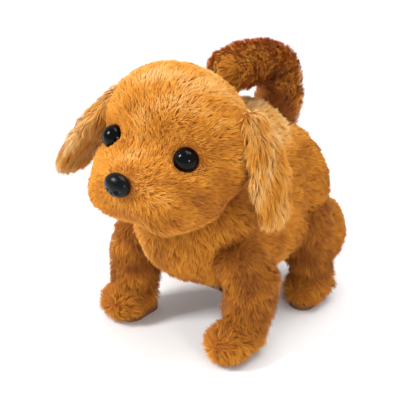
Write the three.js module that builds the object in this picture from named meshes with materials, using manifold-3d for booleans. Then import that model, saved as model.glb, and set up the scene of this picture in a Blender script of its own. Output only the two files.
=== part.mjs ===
// A battery plush puppy that walks, nods and wags its tail.
// Millimetres. The puppy faces -Y, its left side is +X, +Z is up, and it stands on Z = 0.
// The origin is on the floor, in the middle of its length and width.
import * as THREE from "three";
import { mergeVertices } from "three/addons/utils/BufferGeometryUtils.js";
import Module from "manifold-3d";

const wasm = await Module();
wasm.setup();

// ---------------------------------------------------------------- driving dimensions

const GAP = 0.3; // between touching pieces
const ROOM = 0.7; // round a piece that moves
const SIDES = [
  ["left", 1],
  ["right", -1],
];

const CHASSIS = { half: 23, front: -24, rear: 58, bottom: 31, top: 86, wall: 2, slopeFoot: 66, slopeTop: 2 };
const BAY = { half: 15, front: -12, rear: 41 }; // battery opening in the chassis floor
const TRAY = { half: 16.2, front: -16.2, rear: 44.2, bottom: 33.3, top: 50.2, wall: 1.2 };
const CELL = { radius: 7.1, length: 50, across: 7.5, front: -9.8, z: 41.2 }; // AA
const DOOR = { half: 14.6, front: -13.4, rear: 43.4, bottom: 28.6, top: 30.7, gripY: 30, screwY: 40 };
const SCREW = { shank: 1, head: 2.4, headLength: 1.3, hole: 1.3 };
const CASE_SCREWS = [
  [52, 38],
  [-19.2, 42],
  [-3, 74],
  [38.5, 81.5],
]; // Y and Z of each screw axis

const HIP = { z: 58, stud: 2.5, studEnd: 30.4, collar: 4, collarEnd: 26.1 };
const HIP_Y = { front: -20, hind: 46 };
const SWING = 12; // degrees each way
const PLATE = { inner: 26.4, outer: 28.9, half: 5 }; // leg plate, across X
const FOOT = { x: 32, ahead: 13.5, behind: 7.5, width: 11.4, thick: [3.6, 8], corner: 5 };
const SOLE = { ahead: 15, behind: 9, width: 13.4, thick: 3.3, corner: 6 };
const PAW = { ahead: 20, behind: 14, width: 23, bottom: 0.9 };
const LINK = { z: 46, half: 2.6, inner: 24, outer: 25.8, pin: 1.3 };

const CRANK = { z: 70, throw: 2.5, disc: 4.6, discIn: 23.5, discOut: 25.3, pin: 1.1, shaft: 1.5 };
const SLOT = { half: 1.5, reach: 4.2 };
const MOTOR = { y: 14, z: 75, radius: 10, flat: 7.5, from: -14.5, to: 11, boss: 3, bossLength: 1.4 };
const SWITCH = { y: -19.2, half: 7, depth: 3.7, height: 4.1, rise: 2.5, stem: [-3.8, 0], slot: 4.7 };
const BOARD = { x: [-19, -17.4], y: [-10, 28], z: [52, 68] };
const SPEAKER = { y: -21.8, z: 55 };
const SPRING = { wire: 0.35, turns: 2.5, wide: 4.4, narrow: 2.6, length: 3.2, leaf: 6 };
const GEAR = { module: 0.6, small: 10, large: 30, centres: 12.15 };

const NECK = { y: -26, z: 98, nod: 8, pin: 1.5, half: 3.5, arm: 4, foot: 9, footThick: 2.4 };
const TAIL = { y: 50, post: 2.5, radius: 9.8, base: 101 };
const EYE = { x: 21.7, y: -48.2, z: 110.5, radius: 5.9, depth: 4.8, shank: 7.4, facing: [0.34, -0.92, 0.12] };
const NOSE = { y: -69.4, z: 99.8, radii: [7, 4.6, 5.8] };
const EAR = { x: 50, y: -24, z: 99, radii: [5.5, 15, 33], tilt: 19 };
const SKULL = { centre: [0, -31, 109], radii: [20, 16, 22], wall: 1.8, seam: -31 };
const STEM = { radius: 1.7, washer: 4.6, washerThick: 1.2, room: 4.9 }; // behind the eyes and the nose
const SKIN = [20, 10]; // facets round and along a soft form
const COARSE = [12, 6]; // the same on the room that a soft form moves in
const FINE = 10; // facets round a pin

// ---------------------------------------------------------------- materials

const finish = (color, roughness, metalness = 0) =>
  new THREE.MeshStandardMaterial({ color, roughness, metalness });
const plush = finish(0xc9853a, 0.95);
const shell = finish(0xe9e4d8, 0.5);
const legPlastic = finish(0xd8d2c4, 0.5);
const blackGloss = finish(0x0a0809, 0.06);
const gearPlastic = finish(0xf4f2ea, 0.4);
const steel = finish(0xb8babd, 0.3, 1);
const rubber = finish(0x5a3a22, 0.8);
const board = finish(0x1f6b3a, 0.55);
const cellSleeve = finish(0x2c6fb0, 0.35);
const darkPlastic = finish(0x2b2b2d, 0.5);

// ---------------------------------------------------------------- solids

// A closed geometry as a solid that can be joined and cut.
function solid(geometry) {
  const bare = geometry.clone();
  bare.deleteAttribute("normal");
  bare.deleteAttribute("uv");
  const merged = mergeVertices(bare, 1e-4);
  return new wasm.Manifold(
    new wasm.Mesh({
      numProp: 3,
      vertProperties: new Float32Array(merged.attributes.position.array),
      triVerts: new Uint32Array(merged.index.array),
    }),
  );
}

// A solid back as a geometry.
function surface(body) {
  const mesh = body.getMesh();
  const geometry = new THREE.BufferGeometry();
  geometry.setAttribute("position", new THREE.BufferAttribute(mesh.vertProperties, 3));
  geometry.setIndex(new THREE.BufferAttribute(mesh.triVerts, 1));
  return geometry;
}

const join = (...bodies) => bodies.flat().reduce((a, b) => a.add(b));
const cut = (body, ...tools) => tools.flat().reduce((a, b) => a.subtract(b), body);

// The largest of the bodies that a cut leaves.
function largest(body) {
  return body.decompose().reduce((a, b) => (a.volume() > b.volume() ? a : b));
}

// The space a body passes through as it turns about an axis through a pivot.
function sweep(body, pivot, axis, degrees) {
  return join(
    degrees.map((angle) => {
      const turn = new THREE.Matrix4()
        .makeTranslation(...pivot)
        .multiply(new THREE.Matrix4().makeRotationAxis(axis, THREE.MathUtils.degToRad(angle)))
        .multiply(new THREE.Matrix4().makeTranslation(-pivot[0], -pivot[1], -pivot[2]));
      return solid(surface(body).applyMatrix4(turn));
    }),
  );
}

const X_AXIS = new THREE.Vector3(1, 0, 0);
// Turns a flat shape's x and y into Y and Z, and its thickness into X.
const SIDE_ON = new THREE.Matrix4().makeBasis(
  new THREE.Vector3(0, 1, 0),
  new THREE.Vector3(0, 0, 1),
  new THREE.Vector3(1, 0, 0),
);

function box(low, high) {
  const size = high.map((v, i) => v - low[i]);
  const centre = high.map((v, i) => (v + low[i]) / 2);
  return solid(new THREE.BoxGeometry(...size).translate(...centre));
}

function ellipsoid(centre, radii, turn = 0, facets = SKIN) {
  const ball = new THREE.SphereGeometry(1, ...facets);
  return solid(ball.scale(...radii).rotateY(turn).translate(...centre));
}

// A cylinder along X, Y or Z between two stations on that axis, centred on the other two.
function rod(axis, radius, from, to, centre, facets = FINE) {
  const bar = new THREE.CylinderGeometry(radius, radius, Math.abs(to - from), facets);
  const middle = (from + to) / 2;
  if (axis === "x") return solid(bar.rotateZ(Math.PI / 2).translate(middle, ...centre));
  if (axis === "y") return solid(bar.translate(centre[0], middle, centre[1]));
  return solid(bar.rotateX(Math.PI / 2).translate(...centre, middle));
}

// A plate cut from a side-on shape, between two stations across X.
function plate(shape, from, to, segments = 4) {
  const low = Math.min(from, to);
  const depth = Math.abs(to - from);
  const flat = new THREE.ExtrudeGeometry(shape, { depth, bevelEnabled: false, curveSegments: segments });
  return solid(flat.applyMatrix4(SIDE_ON).translate(low, 0, 0));
}

// A slab with rounded corners that lies flat.
function slab(xs, ys, zs, corner) {
  const flat = new THREE.ExtrudeGeometry(rounded(xs[0], ys[0], xs[1], ys[1], corner), {
    depth: zs[1] - zs[0],
    bevelEnabled: false,
    curveSegments: 3,
  });
  return solid(flat.translate(0, 0, zs[0]));
}

function rounded(x0, y0, x1, y1, r) {
  const shape = new THREE.Shape();
  shape.absarc(x1 - r, y0 + r, r, -Math.PI / 2, 0);
  shape.absarc(x1 - r, y1 - r, r, 0, Math.PI / 2);
  shape.absarc(x0 + r, y1 - r, r, Math.PI / 2, Math.PI);
  shape.absarc(x0 + r, y0 + r, r, Math.PI, 1.5 * Math.PI);
  return shape;
}

// A bar with round ends between two points.
function stadium([y0, z0], [y1, z1], half) {
  const lean = Math.atan2(z1 - z0, y1 - y0);
  const shape = new THREE.Shape();
  shape.absarc(y0, z0, half, lean + Math.PI / 2, lean + 1.5 * Math.PI);
  shape.absarc(y1, z1, half, lean - Math.PI / 2, lean + Math.PI / 2);
  return shape;
}

function polygon(points) {
  return new THREE.Shape(points.map(([y, z]) => new THREE.Vector2(y, z)));
}

// A round tube along a smooth curve through some points.
function tube(points, radius, sides, steps) {
  const path = new THREE.CatmullRomCurve3(points.map((p) => new THREE.Vector3(...p)));
  const section = new THREE.Shape();
  section.absarc(0, 0, radius, 0, 2 * Math.PI);
  const along = { extrudePath: path, steps, curveSegments: sides, bevelEnabled: false };
  return solid(new THREE.ExtrudeGeometry(section, along));
}

// A body of revolution about an axis that starts at a point and runs in a direction.
function turned(profile, at, direction, facets = 12) {
  const geometry = new THREE.LatheGeometry(
    profile.map(([r, h]) => new THREE.Vector2(r, h)),
    facets,
  );
  const lean = new THREE.Quaternion().setFromUnitVectors(
    new THREE.Vector3(0, 1, 0),
    new THREE.Vector3(...direction).normalize(),
  );
  return solid(geometry.applyQuaternion(lean).translate(...at));
}

// ---------------------------------------------------------------- the group of named pieces

const pet = new THREE.Group();

function piece(name, body, material) {
  const mesh = new THREE.Mesh(surface(body), material);
  mesh.geometry.computeVertexNormals();
  mesh.name = name;
  pet.add(mesh);
}

// ---------------------------------------------------------------- soft forms, grown by a clearance

const grown = (radii, grow) => radii.map((r) => r + grow);

function bodyForm() {
  const barrel = [
    ellipsoid([0, -12, 62], [35, 31, 36]),
    ellipsoid([0, 18, 66], [37.5, 46, 38.5]),
    ellipsoid([0, 45, 64], [37, 29, 38]),
    ellipsoid([0, 15, 50], [36, 50, 25.5]),
  ];
  const haunches = SIDES.map(([, s]) => ellipsoid([s * 24, 51.5, 47], [15.5, 22.5, 26], 0, [16, 8]));
  return join(barrel, haunches);
}

function headForm(grow = 0, facets = SKIN) {
  return join(
    ellipsoid([0, -28, 111], grown([41.5, 23, 35.5], grow), 0, facets),
    ellipsoid([0, -42, 93], grown([38, 24.5, 23.5], grow), 0, facets),
    ellipsoid([0, -55, 95], grown([20, 14.5, 14], grow), 0, facets),
  );
}

function legForm(hipY, s, grow = 0, facets = [12, 8]) {
  const x = s * FOOT.x;
  return join(
    ellipsoid([x - s, hipY, 34], grown([12, 13.5, 22], grow), 0, facets),
    ellipsoid([x, hipY - 8.5, 13], grown([12.2, 12.5, 11.8], grow), 0, facets),
    slab(
      [x - PAW.width / 2 - grow, x + PAW.width / 2 + grow],
      [hipY - PAW.ahead - grow, hipY + PAW.behind + grow],
      [PAW.bottom - grow, 12 + grow],
      11,
    ),
  );
}

function earForm(s, grow = 0) {
  const lean = s * THREE.MathUtils.degToRad(-EAR.tilt);
  return ellipsoid([s * EAR.x, EAR.y, EAR.z], grown(EAR.radii, grow), lean, [16, 10]);
}

// ---------------------------------------------------------------- legs

const hipAt = (hipY) => [0, hipY, HIP.z];
const SWING_STEPS = [-SWING, 0, SWING];

function legFrame(hipY, s, hind) {
  const x = s * FOOT.x;
  const top = hind ? CRANK.z + 3 : HIP.z;
  const parts = [
    plate(stadium([hipY, top], [hipY, 11], PLATE.half), s * PLATE.inner, s * PLATE.outer),
    slab(
      [x - FOOT.width / 2, x + FOOT.width / 2],
      [hipY - FOOT.ahead, hipY + FOOT.behind],
      FOOT.thick,
      FOOT.corner,
    ),
    rod("x", LINK.pin, s * (LINK.inner + 0.1), s * (PLATE.inner + 0.5), [hipY, LINK.z]),
  ];
  const frame = join(parts);
  const bore = rod("x", HIP.stud + GAP, s * 20, s * 32, [hipY, HIP.z]);
  const foot = box([-60, hipY - 40, 0], [60, hipY + 40, FOOT.thick[0]]);
  if (!hind) return cut(frame, bore, foot);
  const slotEnds = [
    [hipY, CRANK.z - SLOT.reach],
    [hipY, CRANK.z + SLOT.reach],
  ];
  return cut(frame, bore, foot, plate(stadium(...slotEnds, SLOT.half), s * 20, s * 32));
}

// The plain pocket in the stuffing that the leg frame sits in.
function legFrameRoom(hipY, s) {
  const x = s * FOOT.x;
  const across = [s * (PLATE.inner - GAP), s * (PLATE.outer + GAP)].sort((a, b) => a - b);
  const blade = box(
    [across[0], hipY - PLATE.half - GAP, 6],
    [across[1], hipY + PLATE.half + GAP, CRANK.z + 10],
  );
  const block = box(
    [x - FOOT.width / 2 - GAP, hipY - FOOT.ahead - GAP, FOOT.thick[0] - GAP],
    [x + FOOT.width / 2 + GAP, hipY + FOOT.behind + GAP, FOOT.thick[1] + GAP],
  );
  return join(blade, block);
}

// The room in the body's coat that the leg swings in.
function legRoom(hipY, s) {
  const x = s * FOOT.x;
  const sway = Math.sin(THREE.MathUtils.degToRad(SWING));
  const shinSway = (HIP.z - 34) * sway;
  const pawSway = (HIP.z - 13) * sway;
  return join(
    ellipsoid([x - s, hipY, 35], [14.6, 17.5 + shinSway, 27], 0, COARSE),
    ellipsoid([x, hipY - 8.5, 14], [14, 15 + pawSway, 20], 0, COARSE),
  );
}

function soleSlab(hipY, s, grow = 0) {
  const x = s * FOOT.x;
  return slab(
    [x - SOLE.width / 2 - grow, x + SOLE.width / 2 + grow],
    [hipY - SOLE.ahead - grow, hipY + SOLE.behind + grow],
    [-grow, SOLE.thick + grow],
    SOLE.corner,
  );
}

function addLegs() {
  const room = [];
  for (const [end, hipY] of Object.entries(HIP_Y)) {
    for (const [side, s] of SIDES) {
      const name = `${end}_${side}`;
      const hind = end === "hind";
      piece(`leg_frame_${name}`, legFrame(hipY, s, hind), legPlastic);
      piece(`foot_sole_${name}`, soleSlab(hipY, s), rubber);
      const core = [legFrameRoom(hipY, s), soleSlab(hipY, s, GAP)];
      const hub = rod("x", HIP.collar + ROOM, s * 22, s * 31.4, [hipY, HIP.z]);
      const floor = box([-60, hipY - 60, -5], [60, hipY + 60, PAW.bottom]);
      const inboard = [
        box([-CHASSIS.half - ROOM, hipY - 60, 26], [CHASSIS.half + ROOM, hipY + 60, 90]),
        box([-PLATE.inner, hipY - 60, LINK.z - 7], [PLATE.inner, hipY + 60, 90]),
      ];
      piece(`leg_plush_${name}`, largest(cut(legForm(hipY, s), core, hub, floor, inboard)), plush);
      const retainer = washer(HIP.stud + GAP, HIP.collar, 0.8, [s * 29.2, hipY, HIP.z], [s, 0, 0]);
      piece(`hip_retainer_${name}`, retainer, steel);
      room.push(legRoom(hipY, s));
      const top = hind ? CRANK.z + 3 : HIP.z;
      const upper = stadium([hipY, LINK.z], [hipY, top], PLATE.half + ROOM);
      const blade = plate(upper, s * (PLATE.inner - ROOM), s * (PLATE.outer + ROOM), 4);
      room.push(sweep(blade, hipAt(hipY), X_AXIS, SWING_STEPS));
      room.push(rod("x", HIP.collar + ROOM, s * 22, s * 31.4, [hipY, HIP.z]));
    }
  }
  return room;
}

function linkBar(s, grow = 0) {
  const ends = [
    [HIP_Y.front, LINK.z],
    [HIP_Y.hind, LINK.z],
  ];
  return plate(stadium(...ends, LINK.half + grow), s * (LINK.inner - grow), s * (LINK.outer + grow));
}

// The side links join each hind leg to the front leg of its side as a parallelogram.
function addLinks() {
  for (const [side, s] of SIDES) {
    const holes = Object.values(HIP_Y).map((y) => rod("x", LINK.pin + GAP, s * 22, s * 28, [y, LINK.z]));
    piece(`leg_link_${side}`, cut(linkBar(s), holes), gearPlastic);
  }
}

// ---------------------------------------------------------------- chassis

// The side view of the chassis, moved in by an inset.
function chassisOutline(inset) {
  const c = CHASSIS;
  const lean = Math.atan2(c.top - c.slopeFoot, c.slopeTop - c.front);
  const shift = inset * Math.tan(lean / 2);
  const rise = inset * Math.tan((Math.PI / 2 - lean) / 2);
  const corner = 4 - inset;
  const [y0, y1, z0, z1] = [c.front + inset, c.rear - inset, c.bottom + inset, c.top - inset];
  const shape = new THREE.Shape();
  shape.absarc(y1 - corner, z0 + corner, corner, -Math.PI / 2, 0);
  shape.absarc(y1 - corner, z1 - corner, corner, 0, Math.PI / 2);
  shape.lineTo(c.slopeTop + shift, z1);
  shape.lineTo(y0, c.slopeFoot - rise);
  shape.absarc(y0 + corner, z0 + corner, corner, Math.PI, 1.5 * Math.PI);
  return shape;
}

function chassisHalf(s) {
  const c = CHASSIS;
  const seam = s * 0.15;
  const outer = plate(chassisOutline(0), seam, s * c.half, 3);
  const hollow = plate(chassisOutline(c.wall), -s, s * (c.half - c.wall), 3);
  const bosses = CASE_SCREWS.map((at) => rod("x", 2.2, seam, s * (c.half - c.wall + 0.5), at, 12));
  const studs = Object.values(HIP_Y).flatMap((y) => [
    rod("x", HIP.stud, s * (c.half - 1), s * HIP.studEnd, [y, HIP.z]),
    rod("x", HIP.collar, s * (c.half - 1), s * HIP.collarEnd, [y, HIP.z]),
  ]);
  const holes = [
    box([-BAY.half, BAY.front, c.bottom - 1], [BAY.half, BAY.rear, c.bottom + c.wall + 1]),
    box([-SWITCH.slot, SWITCH.y - 2.1, c.bottom - 1], [SWITCH.slot, SWITCH.y + 1.5, c.bottom + c.wall + 1]),
    rod("x", CRANK.shaft + GAP, s * (c.half - 3), s * (c.half + 1), [HIP_Y.hind, CRANK.z]),
    rod("z", TAIL.post + GAP, c.top - 4, c.top + 2, [0, TAIL.y]),
  ];
  for (const at of CASE_SCREWS) {
    holes.push(rod("x", SCREW.hole, -15, s > 0 ? c.half + 1 : 1, at, 12));
    if (s > 0) holes.push(rod("x", SCREW.head + GAP, c.half - 1.7, c.half + 1, at, 12));
  }
  return cut(join(cut(outer, hollow), bosses, studs), holes);
}

function addChassis() {
  for (const [side, s] of SIDES) piece(`chassis_${side}`, chassisHalf(s), shell);
  CASE_SCREWS.forEach((at, i) => {
    const headBottom = CHASSIS.half - 1.4;
    const shank = rod("x", SCREW.shank, -14, headBottom + 0.2, at, 12);
    const head = rod("x", SCREW.head, headBottom, headBottom + SCREW.headLength, at, 12);
    const [y, z] = at;
    const driver = box([headBottom + 0.8, y - 1.6, z - 0.3], [CHASSIS.half, y + 1.6, z + 0.3]);
    piece(`chassis_screw_${i + 1}`, cut(join(shank, head), driver), steel);
  });
}

// ---------------------------------------------------------------- batteries and their door

function addBatteries() {
  const t = TRAY;
  const outside = box([-t.half, t.front, t.bottom], [t.half, t.rear, t.top]);
  const inside = box(
    [-t.half + t.wall, t.front + t.wall, t.bottom - 1],
    [t.half - t.wall, t.rear - t.wall, t.top - t.wall],
  );
  piece("battery_tray", cut(outside, inside), shell);
  for (const [side, s] of SIDES) {
    const x = s * CELL.across;
    const [r, l] = [CELL.radius, CELL.length];
    const sleeve = [[0, 0], [r - 0.6, 0], [r, 0.6], [r, l - 2.2], [r - 0.6, l - 1.6]];
    const can = [...sleeve, [2.7, l - 1.6], [2.7, l], [0, l]];
    const start = s > 0 ? CELL.front : CELL.front + l;
    piece(`battery_${side}`, turned(can, [x, start, CELL.z], [0, s, 0]), cellSleeve);
    const steps = SPRING.turns * 8;
    const coil = [];
    for (let i = 0; i <= steps; i++) {
      const angle = (i / 8) * 2 * Math.PI;
      const radius = SPRING.wide - ((SPRING.wide - SPRING.narrow) * i) / steps;
      const along = t.front + 2.4 + (SPRING.length * i) / steps;
      coil.push([x + radius * Math.cos(angle), along, CELL.z + radius * Math.sin(angle)]);
    }
    const wire = tube(coil, SPRING.wire, 2, steps);
    const half = SPRING.leaf;
    const leaf = box([x - half, t.front + 1.5, CELL.z - half], [x + half, t.front + 2.3, CELL.z + half]);
    piece(`battery_spring_${side}`, join(wire, leaf), steel);
  }
  const bridge = box([-14, t.rear - 2.2, CELL.z - 6], [14, t.rear - 1.6, CELL.z + 6]);
  piece("battery_contact", bridge, steel);
}

function addBatteryDoor() {
  const d = DOOR;
  const panel = slab([-d.half, d.half], [d.front, d.rear], [d.bottom, d.top], 3);
  const grip = [0, 1, 2].map((i) => {
    const y = d.gripY + 2.4 * i;
    return box([-6, y, d.bottom - 0.1], [6, y + 1.2, d.bottom + 0.5]);
  });
  const screwY = d.screwY;
  const hole = rod("z", SCREW.hole, d.bottom - 1, d.top + 1, [0, screwY], 12);
  const sink = rod("z", SCREW.head + GAP, d.bottom - 1, d.bottom + 1.1, [0, screwY], 12);
  piece("battery_door", cut(panel, grip, hole, sink), shell);
  const head = rod("z", SCREW.head, d.bottom - 0.4, d.bottom + 0.8, [0, screwY], 12);
  const shank = rod("z", SCREW.shank, d.bottom + 0.6, d.top + 2.2, [0, screwY], 12);
  piece("battery_door_screw", join(head, shank), steel);
}

// ---------------------------------------------------------------- electrics

function addElectrics() {
  const b = CHASSIS.bottom;
  const w = SWITCH;
  const stemHalf = 1.4;
  const stem = box([w.stem[0], w.y - 0.3 - stemHalf, b - 2], [w.stem[1], w.y - 0.3 + stemHalf, b + 2.1]);
  const grooves = [0.7, 1.6, 2.5].map((along) => {
    const x = w.stem[0] + along;
    return box([x, w.y - 2, b - 2.3], [x + 0.5, w.y + 2, b - 1.7]);
  });
  piece("switch_knob", cut(stem, grooves), darkPlastic);
  const low = [-w.half, w.y - 1.8, b + w.rise];
  const high = [w.half, w.y - 1.8 + w.depth, b + w.rise + w.height];
  piece("switch_body", box(low, high), darkPlastic);

  const cone = [[0, 0.6], [3, 0.2], [8, 1.6], [9, 1.6], [9, 2.6], [6.5, 3], [6.5, 4], [0, 4]];
  piece("speaker", turned(cone, [0, SPEAKER.y, SPEAKER.z], [0, 1, 0], 24), darkPlastic);

  const circuit = join(
    box([BOARD.x[0], BOARD.y[0], BOARD.z[0]], [BOARD.x[1], BOARD.y[1], BOARD.z[1]]),
    box([BOARD.x[1] - 0.2, 2, 56], [BOARD.x[1] + 1.4, 10, 64]),
    rod("x", 2.5, BOARD.x[1] - 0.2, BOARD.x[1] + 4.4, [18, 60], 12),
  );
  piece("circuit_board", circuit, board);

  const m = MOTOR;
  const can = cut(
    rod("x", m.radius, m.from, m.to, [m.y, m.z], 28),
    box([-30, m.y - 20, m.z + m.flat], [30, m.y + 20, m.z + 20]),
    box([-30, m.y - 20, m.z - 20], [30, m.y + 20, m.z - m.flat]),
  );
  const boss = rod("x", m.boss, m.to - 0.5, m.to + m.bossLength, [m.y, m.z]);
  const tail = rod("x", m.boss, m.from - m.bossLength, m.from + 0.5, [m.y, m.z]);
  piece("motor", join(can, boss, tail), steel);
}

// ---------------------------------------------------------------- gear train

// A toothed wheel across X, with one tooth pointing along an angle in the YZ plane.
function gear(teeth, from, to, [y, z], pointing) {
  const pitch = (GEAR.module * teeth) / 2;
  const tip = pitch + 0.72 * GEAR.module;
  const root = pitch - 1.1 * GEAR.module;
  const step = (2 * Math.PI) / teeth;
  const outline = [];
  for (let i = 0; i < teeth; i++) {
    const middle = pointing + i * step;
    const corners = [
      [root, -0.3],
      [tip, -0.11],
      [tip, 0.11],
      [root, 0.3],
    ];
    for (const [radius, share] of corners) {
      const angle = middle + share * step;
      outline.push([y + radius * Math.cos(angle), z + radius * Math.sin(angle)]);
    }
  }
  return plate(polygon(outline), from, to);
}

function gearAxes() {
  const crank = [HIP_Y.hind, CRANK.z];
  const motor = [MOTOR.y, MOTOR.z];
  const dip = THREE.MathUtils.degToRad(-20);
  const first = [motor[0] + GEAR.centres * Math.cos(dip), motor[1] + GEAR.centres * Math.sin(dip)];
  const apart = Math.hypot(crank[0] - first[0], crank[1] - first[1]);
  const sag = Math.sqrt(GEAR.centres ** 2 - (apart / 2) ** 2);
  const second = [
    (first[0] + crank[0]) / 2 + (sag * (crank[1] - first[1])) / apart,
    (first[1] + crank[1]) / 2 - (sag * (crank[0] - first[0])) / apart,
  ];
  return { motor, first, second, crank };
}

// The small wheel's tooth and the large wheel's gap that face each other.
function meshing(small, large) {
  const towards = Math.atan2(large[1] - small[1], large[0] - small[0]);
  return { small: towards, large: towards + Math.PI + Math.PI / GEAR.large };
}

function addGears() {
  const { motor, first, second, crank } = gearAxes();
  const stage1 = meshing(motor, first);
  const stage2 = meshing(first, second);
  const stage3 = meshing(second, crank);
  piece("motor_pinion", gear(GEAR.small, 12.8, 17, motor, stage1.small), steel);
  piece(
    "gear_first",
    join(
      gear(GEAR.large, 14, 16.6, first, stage1.large),
      gear(GEAR.small, 16.4, 20, first, stage2.small),
      rod("x", 1, 8, 20.6, first, 10),
    ),
    gearPlastic,
  );
  piece(
    "gear_second",
    join(
      gear(GEAR.large, 17.4, 19.6, second, stage2.large),
      gear(GEAR.small, 9, 13, second, stage3.small),
      rod("x", 1.8, 12.8, 17.6, second, 12),
      rod("x", 1, 6, 20.6, second, 10),
    ),
    gearPlastic,
  );
  const discs = SIDES.map(([, s]) => {
    const pinY = crank[0];
    const pinZ = crank[1] + s * CRANK.throw;
    return [
      rod("x", CRANK.disc, s * CRANK.discIn, s * CRANK.discOut, crank, 20),
      rod("x", CRANK.pin, s * (CRANK.discOut - 0.2), s * (PLATE.inner - GAP), [pinY, pinZ], 10),
    ];
  });
  const shaft = rod("x", CRANK.shaft, -CRANK.discOut, CRANK.discOut, crank);
  piece("crankshaft", join(shaft, discs.flat()), steel);
  const wheel = gear(GEAR.large, 9.4, 12.4, crank, stage3.large);
  piece("crank_gear", cut(wheel, rod("x", CRANK.shaft + 0.1, 5, 15, crank)), gearPlastic);
}

// ---------------------------------------------------------------- head

const NOD_PIVOT = [0, NECK.y, NECK.z];
const NOD_STEPS = [-NECK.nod, 0, NECK.nod];

// A foot that lies on the slope of the chassis, and an arm up to the nod pin.
function neckForm(grow = 0) {
  const c = CHASSIS;
  const slope = new THREE.Vector2(c.slopeTop - c.front, c.top - c.slopeFoot).normalize();
  const out = new THREE.Vector2(-slope.y, slope.x);
  const middle = new THREE.Vector2((c.slopeTop + c.front) / 2, (c.top + c.slopeFoot) / 2);
  const at = (along, away) => [
    middle.x + slope.x * along + out.x * away,
    middle.y + slope.y * along + out.y * away,
  ];
  const reach = NECK.foot + grow;
  const top = NECK.footThick + grow;
  const base = polygon([at(-reach, GAP), at(reach, GAP), at(reach, top), at(-reach, top)]);
  const arm = stadium(at(0, NECK.footThick + 2), [NECK.y, NECK.z], NECK.arm + grow);
  return join(plate(base, -reach, reach), plate(arm, -NECK.half - grow, NECK.half + grow));
}

// The skull's outside, grown by a clearance, or drawn in to its hollow.
const skull = (grow) => ellipsoid(SKULL.centre, grown(SKULL.radii, grow), 0, [16, 10]);

function button(radius, depth, shank, at, direction) {
  const dome = [[0, -shank], [STEM.radius, -shank], [STEM.radius, -0.8], [radius, -0.8], [radius, 0]];
  for (let i = 1; i <= 4; i++) {
    const angle = (i / 4) * (Math.PI / 2);
    dome.push([radius * Math.cos(angle), depth * Math.sin(angle)]);
  }
  dome[dome.length - 1][0] = 0;
  return turned(dome, at, direction, 16);
}

function washer(inner, outer, thick, at, direction) {
  const ring = [[inner, 0], [outer, 0], [outer, thick], [inner, thick], [inner, 0]];
  return turned(ring, at, direction);
}

// The washer that holds the stem of an eye or the nose.
function stemWasher(at, direction) {
  return washer(STEM.radius + GAP, STEM.washer, STEM.washerThick, at, direction);
}

function addHead() {
  const chassis = plate(chassisOutline(-ROOM), -CHASSIS.half - 0.6, CHASSIS.half + 0.6);
  const window = join([neckForm(ROOM), chassis].map((body) => sweep(body, NOD_PIVOT, X_AXIS, NOD_STEPS)));
  const pin = rod("x", NECK.pin, -17.5, 17.5, [NECK.y, NECK.z]);
  const pinRoom = rod("x", NECK.pin + GAP, -17.8, 17.8, [NECK.y, NECK.z]);
  const hollow = cut(skull(0), skull(-SKULL.wall));
  const seam = SKULL.seam;
  const front = cut(hollow, box([-40, seam + 0.15, 60], [40, 20, 150]), window);
  const back = cut(hollow, box([-40, -90, 60], [40, seam + 0.15 + GAP, 150]), window, pinRoom);
  piece("head_core_front", largest(front), shell);
  piece("head_core_back", largest(back), shell);
  piece("neck_pin", pin, steel);
  const bore = rod("x", NECK.pin + GAP, -6, 6, [NECK.y, NECK.z]);
  piece("neck_bracket", cut(neckForm(), bore), shell);

  const fitted = [];
  for (const [side, s] of SIDES) {
    const at = [s * EYE.x, EYE.y, EYE.z];
    const [sideways, ahead, up] = EYE.facing;
    const outward = new THREE.Vector3(s * sideways, ahead, up).normalize();
    const behind = outward.clone().multiplyScalar(-6.2).add(new THREE.Vector3(...at)).toArray();
    const facing = outward.toArray();
    piece(`eye_${side}`, button(EYE.radius, EYE.depth, EYE.shank, at, facing), blackGloss);
    piece(`eye_washer_${side}`, stemWasher(behind, facing), legPlastic);
    fitted.push(button(EYE.radius + GAP, EYE.depth + GAP, EYE.shank + GAP, at, facing));
    const pocket = outward.clone().multiplyScalar(-8).add(new THREE.Vector3(...at)).toArray();
    fitted.push(turned([[0, 0], [STEM.room, 0], [STEM.room, 7.4], [0, 7.4]], pocket, facing, 16));
  }
  const snub = (grow) =>
    join(
      ellipsoid([0, NOSE.y, NOSE.z], grown(NOSE.radii, grow), 0, [16, 8]),
      rod("y", STEM.radius + grow, NOSE.y, NOSE.y + 9, [0, NOSE.z - 0.4]),
    );
  const nostrils = SIDES.map(([, s]) =>
    ellipsoid([s * 2.6, NOSE.y - NOSE.radii[1], NOSE.z - 1.6], [1.1, 1, 0.8], 0, [8, 4]),
  );
  piece("nose", cut(snub(0), nostrils), blackGloss);
  const noseBack = [0, NOSE.y + 6, NOSE.z - 0.4];
  piece("nose_washer", stemWasher(noseBack, [0, 1, 0]), legPlastic);
  fitted.push(snub(GAP), rod("y", STEM.room, NOSE.y + 2, NOSE.y + 9.6, [0, NOSE.z - 0.4]));

  const cover = cut(headForm(), skull(GAP), window, pinRoom, fitted);
  piece("head_plush", largest(cover), plush);
}

function addEars() {
  for (const [side, s] of SIDES) piece(`ear_${side}`, largest(cut(earForm(s), headForm(1.2))), plush);
}

// ---------------------------------------------------------------- tail

function tailPath() {
  return [
    [0, 54, TAIL.base],
    [0, 56.5, 108],
    [0, 56, 117],
    [0, 50, 126],
    [0, 40, 131.5],
    [0, 28, 134],
    [0, 16, 134.5],
  ];
}

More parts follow.
